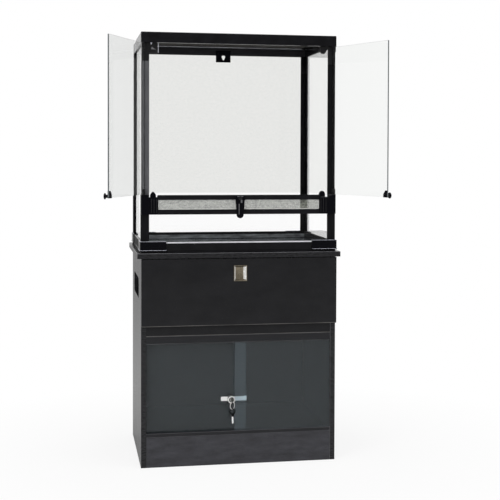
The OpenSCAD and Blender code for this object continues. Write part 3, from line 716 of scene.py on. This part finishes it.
bm = bmesh.new()
mitred(bm, half_w, front_y, back_y, [
    (0, 652), (0, 656), (0.8, 656.6), (0.8, 658.2), (0, 658.8), (0, 681),
    (0.8, 682.8), (3, 684), (12, 684), (12, 677.5), (12, 664.5), (12, 658),
    (25, 658), (25, 652)])
give(bm, 1, lambda n, p: 664.5 < p.z < 677.5 and abs(p.x) < 289
     and p.y > 420)
give(bm, 2, lambda n, p: n.z > 0.2 and p.z > 681.5 and p.y < 4)
give(bm, 3, lambda n, p: n.x < -0.9 and p.x < -299)
piece("base_extrusion", bm, "carcass",
      (extruded, mottled_pvc, lit_pvc, matt), ("base_frame",))

# A rubber bead seals the glass to the frame inside. It is dull and blacker
# than the frame.
rubber, tree = new_finish("black glazing rubber")
draw = patch(tree, 3.0)
done(tree, Base_Color=blended(tree, draw, "0a0a0b", "101011"),
     Roughness=between(tree, draw, 0.5, 0.65), Specular_IOR_Level=0.15)
bm = bmesh.new()
slab(bm, (-288, 428.5, 681), (288, 432, 686))
for side in (-1, 1):
    x = sorted((286 * side, 290 * side))
    slab(bm, (x[0], 12, 681), (x[1], 430, 686))
soften(bm, 1.2, 2)
piece("glazing_bead", bm, "carcass", (rubber,))

# Corner brackets: moulded angles pushed over the base frame's corners, with a
# rounded upper edge and a lip below, both given a painted bluish-white
# highlight.
gloss_abs, tree = new_finish("moulded ABS, half gloss")
skin = patch(tree, 2.0)
done(tree, Base_Color=blended(tree, skin, "07070b", "0c0c12"),
     Roughness=between(tree, skin, 0.2, 0.3), Specular_IOR_Level=0.08,
     Normal=bumped(tree, skin, 0.03))
lit_abs, tree = new_finish("moulded ABS, painted highlight")
skin = patch(tree, 8.0)
done(tree, Base_Color=blended(tree, skin, "b4b6c2", "e2e4f0"),
     Roughness=between(tree, skin, 0.25, 0.4))
lip_low, lip_high, lip_out = 657.2, 660.4, 304.4
bm = copy_of("base_corner_brackets")
for side in (-1, 1):
    x = sorted((side * lip_out, side * 224))
    slab(bm, (x[0], -12.4, lip_low), (x[1], -11, lip_high))
    x = sorted((side * 303, side * lip_out))
    slab(bm, (x[0], -11, lip_low), (x[1], 68, lip_high))
    slab(bm, (x[0], 366, lip_low), (x[1], 445, lip_high))
soften(bm, 1.1, 2)
# The upward faces at the top and on the lip take the painted highlight.
give(bm, 1, lambda n, p: n.z > 0.35 and (p.z > 685 or p.z < 662))
piece("corner_angles", bm, "carcass",
      (gloss_abs, lit_abs), ("base_corner_brackets",))

# Floor pane, painted black underneath: it mirrors what stands behind it,
# through a film of grey dust.
dusty, tree = new_finish("back-painted glass floor, dusty")
dust = patch(tree, 22.0, (2.4, 1, 1), 5.0, 0.65)
done(tree, Base_Color=blended(tree, dust, "2a2c2e", "565b5e"),
     Roughness=between(tree, dust, 0.04, 0.1))
bm = copy_of("floor_pane")
soften(bm, 0.4, 1)
piece("glass_floor", bm, "carcass", (dusty,),
      ("floor_pane",))


# ---- Corner posts and connectors ------------------------------------------
# Extruded angles between the base frame and moulded connectors under the rim.
# The front left post's front face is grey above the vent strip, from this
# height up.

grey_from_z = 827.5
grey_pvc, tree = new_finish("extruded PVC, grey")
drawn = patch(tree, 2.4, (1, 1, 20), 2.0)
done(tree, Base_Color=blended(tree, drawn, "4c4c4f", "5f5f62"),
     Roughness=between(tree, drawn, 0.4, 0.55), Specular_IOR_Level=0.25)
for node in ("front_left_post", "front_right_post", "back_left_post",
             "back_right_post"):
    bm = copy_of(node)
    soften(bm, 0.9, 2)
    if node == "front_left_post":
        band(bm, grey_from_z)
        give(bm, 1, lambda n, p: p.z > grey_from_z + 0.5 and n.y < -0.3
             and p.x > -299)
    piece(node.replace("_post", "_upright"), bm, "carcass",
          (matt, grey_pvc), (node,))


def plate(bm, outline, y0, y1):
    """A flat piece across Y from its outline of (x, z), in millimetres."""
    face = bm.faces.new([bm.verts.new((x / 1000, y0 / 1000, z / 1000))
                         for x, z in outline])
    grow(bm, [face], (0, (y1 - y0) / 1000, 0))


# The connectors: sleeves round the post tops, a squared gusset with a rib at
# the left of the opening, painted with its facets as pale highlights, and a
# hooked one at the right, which takes the place of the solid's squared one
# together with its sleeve.
sleeve_z = 1231
bm = copy_of("top_corner_connectors")
bmesh.ops.delete(bm, context="VERTS", geom=[
    v for v in bm.verts if v.co.x > 0.24 and v.co.y < 0.1])
plate(bm, [(275, sleeve_z), (300, sleeve_z), (300, rim_z), (275, rim_z)],
      0, 5)
slab(bm, (295, 0, sleeve_z), (300, 25, rim_z))
plate(bm, [(275, rim_z), (275, 1276), (270.5, 1273), (267.5, 1266),
           (263, 1262.3), (257, 1262.3), (252.5, 1264.5), (250.5, 1269),
           (250.5, rim_z)], 0, 5)
soften(bm, 0.9, 2)
piece("corner_connectors", bm, "carcass", (moulded,),
      ("top_corner_connectors",))
bm = bmesh.new()
plate(bm, [(-248.6, 1256), (-247.2, 1256), (-247.2, rim_z),
           (-248.6, rim_z)], -1.2, 4)
plate(bm, [(-272, rim_z), (-266, rim_z), (-269.5, 1279)], -1.6, 0.2)
plate(bm, [(-270, 1266), (-267, 1274), (-263, 1270), (-255, 1265)],
      -1.2, 0.2)
soften(bm, 0.4, 2)
# The rib and the upper facet are painted pale highlights, and the lower facet
# a greyer one.
give(bm, 1, lambda n, p: p.x < -253 and p.z < 1276)
piece("gusset_ribs", bm, "carcass", (lit_abs, lit_arris))


# ---- Top frame ------------------------------------------------------------
# The rim: the same kind of extrusion, deeper, with rounded edges and a seat
# for the lid inside.

bm = bmesh.new()
mitred(bm, half_w, front_y, back_y, [
    (0.6, 1286), (0, 1286.6), (0, 1316), (0.6, 1317.4), (2, 1318),
    (6, 1318), (6, 1312), (11.2, 1312), (12, 1311.2), (12, 1286.6),
    (11.4, 1286)])
give(bm, 1, lambda n, p: n.y < -0.3 and p.y > 400)
piece("rim_extrusion", bm, "carcass",
      (extruded, track_plastic), ("top_frame",))


# ---- Fixed glass ----------------------------------------------------------
# Clear float glass with ground edges, bonded into the posts. A pale film is
# laid on the back and the right side, down to the vent strip. On the back
# it ends 24 mm short of the pane's left edge. The index of the glass is set
# low, so that it mirrors little.

film_foot, film_end = (0.816, 0.822), (-0.268, -0.264)


def filmed(name, film):
    """Clear glass with a film on its upper part, mottled in two hex
    colours."""
    made, solid = glass(name, "ffffff", "f2f2f2", index=1.3)
    tree = made.node_tree
    spot = add(tree, "SeparateXYZ", {0: add(tree, "TexCoord")["Object"]})
    laid = add(tree, "Math", {
        0: between(tree, spot["Z"], 0, 1, *film_foot),
        1: between(tree, spot["X"], 0, 1, *film_end)},
        operation="MULTIPLY")[0]
    mist = patch(tree, 7.0, (1.4, 1, 1), 4.0, 0.6)
    tone = add(tree, "MixRGB", {"Fac": laid, "Color1": linear("ffffff"),
               "Color2": blended(tree, mist, *film)})[0]
    tree.links.new(tone, solid[0].node.inputs["Base Color"])
    return made


back_film = filmed("clear float glass, film on the back",
                   ("e6e7e5", "ececea"))
side_film = filmed("clear float glass, film on the side",
                   ("f3f4f3", "f7f7f6"))
unfilmed = glass("clear float glass", "ffffff", "f6f6f6", index=1.2)[0]
for node, name, across, finish in (
        ("back_glass", "back_pane", 1, back_film),
        ("left_side_glass", "left_pane_fixed", 0, unfilmed),
        ("right_side_glass", "right_pane_fixed", 0, side_film),
        ("front_lower_glass", "low_front_pane", 1, unfilmed)):
    bm = copy_of(node)
    soften(bm, 0.5, 1)
    give(bm, 1, lambda n, p: abs(n[across]) < 0.6)
    piece(name, bm, "carcass", (finish, ground_edge), (node,))


# ---- Vent strip -----------------------------------------------------------
# Two extruded rails with woven wire between them, closed at each end by a
# moulded block that carries the door's lower pivot.

for node, name in (("vent_upper_rail", "upper_vent_rail"),
                   ("vent_lower_rail", "lower_vent_rail")):
    bm = copy_of(node)
    soften(bm, 1.2, 3)
    piece(name, bm, "carcass", (extruded,), (node,))

# Painted wire, greenish grey with lime in the knots. The real cloth has
# 1.2 mm meshes; they are drawn at 2 mm, or they would not show.
wire, tree = new_finish("painted wire cloth")
knots = patch(tree, 5.0, (1.8, 1, 0.8), 5.0, 0.75)
done(tree, Base_Color=blended(tree, knots, "14160f", "b8bcb0"),
     Roughness=0.6)
black_wire, tree = new_finish("black wire cloth")
knots = patch(tree, 30.0)
done(tree, Base_Color=blended(tree, knots, "2c2b29", "444240"),
     Roughness=0.6, Specular_IOR_Level=0.15)


def wire_cloth(bm, low, high, pitch, width, flat):
    """Straight wires both ways in the plane across the flat axis, the warp
    in front of the weft by most of a wire. All in millimetres."""
    half_wire, shift = 0.14, 0.12
    axes = [a for a in range(3) if a != flat]
    for across, step in ((axes[1], -shift), (axes[0], shift)):
        count = int((high[across] - low[across]) / pitch)
        start = ((high[across] + low[across]) - (count - 1) * pitch) / 2
        for k in range(count):
            a, b = list(low), list(high)
            a[across] = start + k * pitch - width / 2
            b[across] = a[across] + width
            middle = (low[flat] + high[flat]) / 2 + step
            a[flat], b[flat] = middle - half_wire, middle + half_wire
            slab(bm, a, b)


bm = bmesh.new()
wire_cloth(bm, (-vent_half, -2, 779), (vent_half, -1, 816), 2.0, 0.95, 1)
piece("vent_cloth", bm, "carcass", (wire,), ("vent_mesh",))

# A pale vinyl cord holds the cloth along its foot and at its ends, 496 mm
# and twice 29 mm long. The dark upright line right of the middle is taken
# for a seam of the cloth.
cord, tree = new_finish("pale vinyl cord")
twist = patch(tree, 3.0, (3, 1, 1))
done(tree, Base_Color=blended(tree, twist, "d2d3cf", "f0f0ec"),
     Roughness=between(tree, twist, 0.45, 0.6))
cord_front, cord_back, cord_top = -3.4, -2.0, 813
join_x = (50.2, 51.4)
bm = bmesh.new()
slab(bm, (-vent_half, cord_front, 782), (vent_half, cord_back, 785.4))
for x in (-248, 245.4):
    slab(bm, (x, cord_front, 784), (x + 2.6, cord_back, cord_top))
slab(bm, (join_x[0], -2.6, 783), (join_x[1], cord_back, cord_top))
soften(bm, 0.5, 2)
give(bm, 1, lambda n, p: join_x[0] - 0.5 < p.x < join_x[1] + 0.5)
piece("vent_cord", bm, "carcass", (cord, black_wire))

# The pivot blocks: a housing in front of the post, a thicker and lower part
# up to the strip, three ribs, and a tongue that stops the door, pointed at
# the left and domed at the right.
rib_front, rib_back, rib_low, rib_high = -9.2, -7.5, 772, 817
for side, name, node in ((-1, "left_pivot_block", "left_hinge_block"),
                         (1, "right_pivot_block", "right_hinge_block")):
    bm = bmesh.new()
    plate(bm, [(side * x, z) for x, z in (
        (300, 768), (275.4, 768), (275.4, 826), (276.4, 827),
        (300, 827))], -8, 0)
    plate(bm, [(side * x, z) for x, z in (
        (275.4, 768), (248, 768), (248, 827), (250.5, 825.5),
        (251.5, 820.5), (275.4, 820.5))], -8, 5)
    if side < 0:
        plate(bm, [(-272.6, 820), (-272.2, 828), (-269.4, 832.4),
                   (-265.6, 836.6), (-263.4, 837.4), (-261.2, 836.6),
                   (-257.4, 832.4), (-254.6, 828), (-254.2, 820)], 0, 5)
    else:
        plate(bm, [(248, 820), (268, 820), (268.2, 829), (266.6, 834),
                   (263.4, 837.6), (258.4, 839), (253.4, 837.6),
                   (250.2, 834), (248.4, 829)], 0, 5)
    for x0, x1 in ((252, 254), (260, 262), (268, 270)):
        x = sorted((side * x0, side * x1))
        slab(bm, (x[0], rib_front, rib_low), (x[1], rib_back, rib_high))
    soften(bm, 0.7, 2)
    # The ribs' fronts are a slightly paler black, a faint painted highlight,
    # and the upper front faces carry a stronger painted highlight.
    give(bm, 1, lambda n, p: p.y < -8.2 and n.y < -0.9)
    give(bm, 2, lambda n, p: n.z > 0.3 and n.y < -0.2 and p.z > 818)
    piece(name, bm, "carcass", (gloss_abs, moulded, lit_arris),
          (node,))


# ---- Glass doors ----------------------------------------------------------
# 4 mm clear glass, each held by two moulded clips that end in pivot pins.
# Its index is set low, so that the doors mirror little. Its ground edges
# are a little paler than the other panes', and black along the pivots.

door_float = glass("clear float glass, doors", "fcfdfc", "f4f4f4",
                   index=1.3)[0]
door_edge, tree = new_finish("ground door edge")
grit = patch(tree, 2.0)
done(tree, Base_Color=blended(tree, grit, "4d5254", "6c7274"),
     Roughness=between(tree, grit, 0.35, 0.5))
for side in ("left", "right"):
    bm = copy_of(side + "_door_glass")
    across = max(bm.faces, key=lambda f: f.calc_area()).normal.copy()
    give(bm, 1, lambda n, p: abs(n.dot(across)) < 0.6)
    give(bm, 2, lambda n, p: abs(n.dot(across)) < 0.6
         and abs(abs(p.x) - hinge_x) < 9 and abs(p.y - hinge_y) < 14)
    piece(side + "_door_pane", bm, side + "_door",
          (door_float, door_edge, rubber), (side + "_door_glass",))
    bm = copy_of(side + "_hinge_clips")
    soften(bm, 0.5, 2)
    piece(side + "_door_clips", bm, side + "_door",
          (moulded,), (side + "_hinge_clips",), smooth=40)


# ---- Door knobs -----------------------------------------------------------
# A moulded clamp round the door's lower corner, tapered upwards, with a
# flared knob on it. Both are drawn with the left door shut and its pivot at
# the origin, then turned to the angle, in degrees, that the door stands at.

left_open, right_open = -113.3, 110.9
for side, place in (
        ("left", Matrix.Translation((-hinge_x / 1000, hinge_y / 1000, 0))
         @ Matrix.Rotation(math.radians(left_open), 4, "Z")),
        ("right", Matrix.Translation((hinge_x / 1000, hinge_y / 1000, 0))
         @ Matrix.Rotation(math.radians(right_open), 4, "Z")
         @ Matrix.Scale(-1, 4, (1, 0, 0)))):
    bm = bmesh.new()
    wedge = [(271.5, 829), (287.5, 829), (287.5, 848), (281.5, 848),
             (272.5, 838)]
    plate(bm, wedge, -3.6, -2)
    plate(bm, wedge, 2, 3.6)
    slab(bm, (271.5, -3.6, 827.4), (287.5, 3.6, 829))
    soften(bm, 0.4, 2)
    turned(bm, [(0, 12.5), (5, 12.3), (8, 11.8), (9, 11), (8.8, 10.1),
                (6, 9.7), (4.6, 7.4), (4.5, 4.4), (5, 0), (0, 0)],
           (279.5, -3.6, 833), front_turn)
    bmesh.ops.transform(bm, matrix=place, verts=bm.verts)
    piece(side + "_knob_clamp", bm, side + "_door",
          (gloss_abs,), (side + "_door_knob",), smooth=40)


# ---- Latch ----------------------------------------------------------------
# A moulded turn latch on a screw through the upper rail. It hangs by its
# weight in front of the mesh. Its raised bars carry a pale painted highlight.

bm = copy_of("front_latch")
soften(bm, 1.6, 3)
slab(bm, (-4.6, -17.2, 768), (-2.6, -15.5, 800))
slab(bm, (-9, -16.9, 821.5), (9, -15.5, 823.5))
slab(bm, (1.6, -17.2, 803), (6.4, -15.5, 812))
give(bm, 1, lambda n, p: p.y < -16.4 and n.y < -0.9)
piece("turn_latch", bm, "latch", (gloss_abs, lit_arris),
      ("front_latch",), smooth=45)
bm = copy_of("latch_pivot")
soften(bm, 0.5, 2)
piece("latch_screw", bm, "carcass", (moulded,),
      ("latch_pivot",), smooth=40)


# ---- Lid and rear tab -----------------------------------------------------
# A lift-out frame with black wire cloth, and a moulded tab for a hook or a
# small padlock at the back of the rim.

lid_half, lid_front, lid_back = 293.4, -1.4, 435.4
bm = bmesh.new()
mitred(bm, lid_half, lid_front, lid_back, [
    (0, 1312.3), (0, 1316.5), (0.8, 1317.3), (19.2, 1317.3), (20, 1316.5),
    (20, 1313.1), (19.2, 1312.3)])
# The rear member's underside is painted pale: painted light bounced up from
# the floor.
give(bm, 1, lambda n, p: n.z < -0.5 and p.y > 410)
piece("lid_surround", bm, "lid", (extruded, lit_pvc),
      ("lid_frame",))
bm = bmesh.new()
wire_cloth(bm, (-277.4, 14.6, 1314.3), (277.4, 419.4, 1315.3), 2.6, 0.8, 2)
piece("lid_cloth", bm, "lid", (black_wire,), ("lid_mesh",))

# The keyhole is round above its middle and drawn out to a narrower foot.
hole_x, hole_z, hole_radius = 4.5, 1281, 6
hole_rise, hole_foot, taper = 6.4, 11, 0.45
hole = []
for k in range(24):
    angle = math.pi * k / 12
    sine = math.sin(angle)
    width = hole_radius * math.cos(angle) * (
        1 if sine > 0 else 1 - taper * abs(sine))
    height = (hole_rise if sine > 0 else hole_foot) * sine
    hole.append((hole_x + width, hole_z + height))
tab_front, tab_thick = 0.426, 0.004
bm = bmesh.new()
outside = [(29, 1263.8), (29, 1302), (-21, 1302), (-21, 1263.8),
           (-20.2, 1263), (28.2, 1263)]
loops = []
for outline in (outside, hole):
    verts = [bm.verts.new((x / 1000, tab_front, z / 1000))
             for x, z in outline]
    loops += [bm.edges.new(pair) for pair in zip(verts, verts[1:]
                                                 + verts[:1])]
made = bmesh.ops.triangle_fill(bm, use_beauty=True, edges=loops)["geom"]
grow(bm, [f for f in made if isinstance(f, bmesh.types.BMFace)],
     (0, tab_thick, 0))
soften(bm, 0.5, 2)
piece("keyhole_tab", bm, "carcass", (gloss_abs,),
      ("rear_lock_tab",))
bm = copy_of("lock_tab_screws")
soften(bm, 0.4, 2)
piece("tab_screws", bm, "carcass", (gloss_abs,),
      ("lock_tab_screws",), smooth=40)

bpy.context.view_layer.update()
